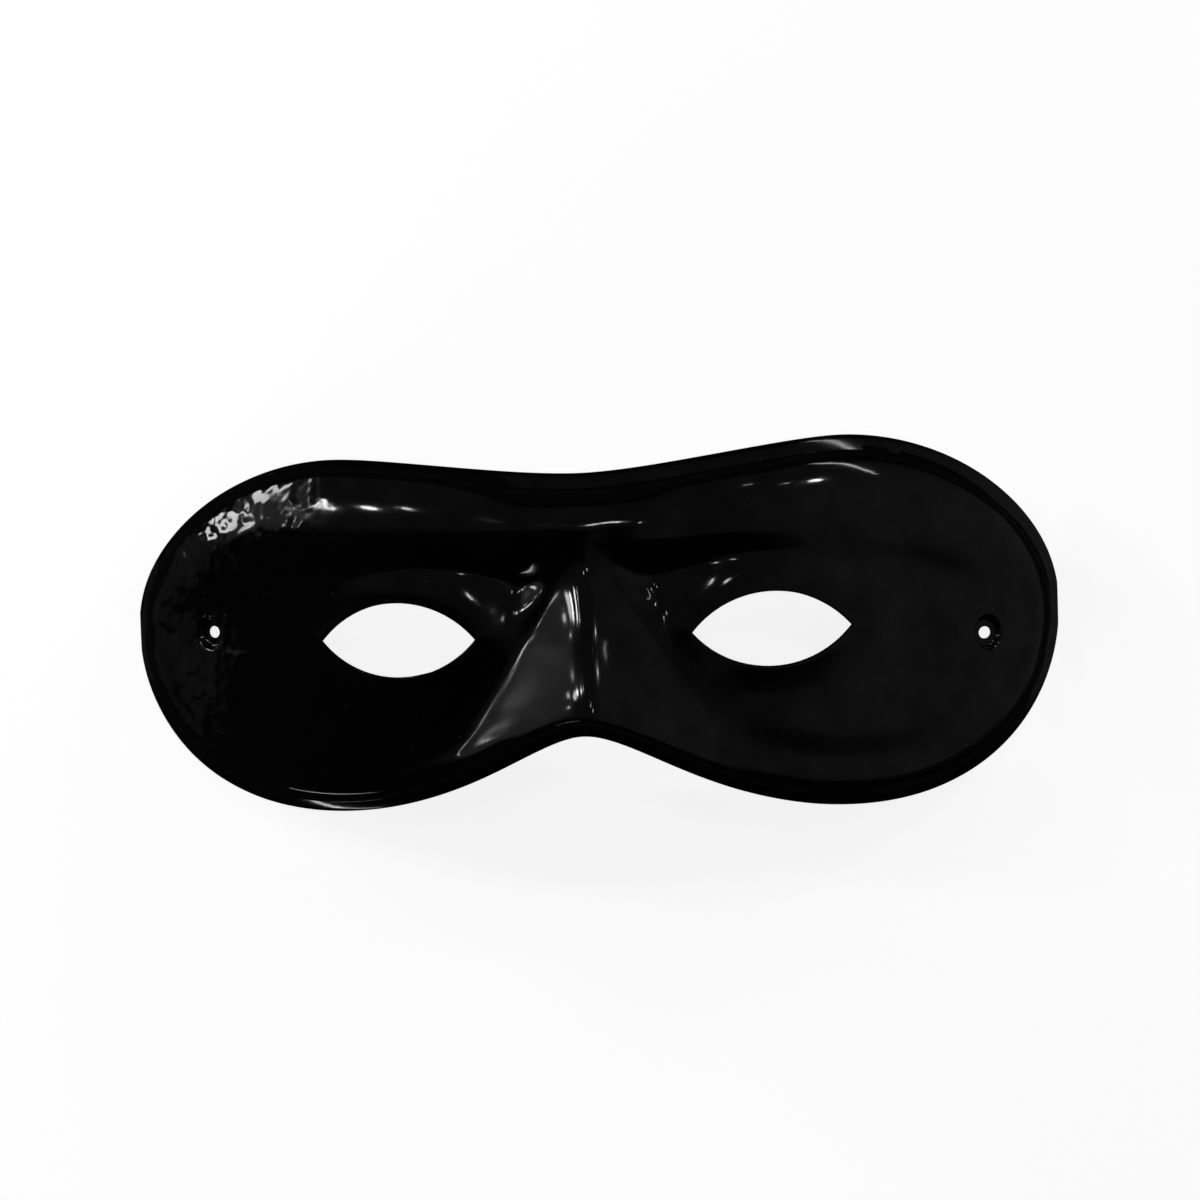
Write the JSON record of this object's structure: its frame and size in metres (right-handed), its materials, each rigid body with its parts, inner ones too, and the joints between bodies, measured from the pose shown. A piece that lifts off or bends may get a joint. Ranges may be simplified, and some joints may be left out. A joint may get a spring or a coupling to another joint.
{
  "type": "domino half-mask",
  "caption": "Glossy black moulded half-mask with wing-like lobes, almond eye openings, a nose and a pierced seat at each temple.",
  "frame": {"origin": "middle of the footprint on the plane that the mask lies on, hollow side down", "axes": "+X across the face to the viewer's right, +Y up the face, +Z out of the face"},
  "size_m": [0.1878, 0.0724, 0.0552],
  "materials": {
    "black_plastic": "glossy vacuum-moulded sheet, black right through, mirror-like with a slight ripple outside and duller inside"
  },
  "bodies": {
    "root": {"mask_shell": "black_plastic"}
  },
  "joints": []
}
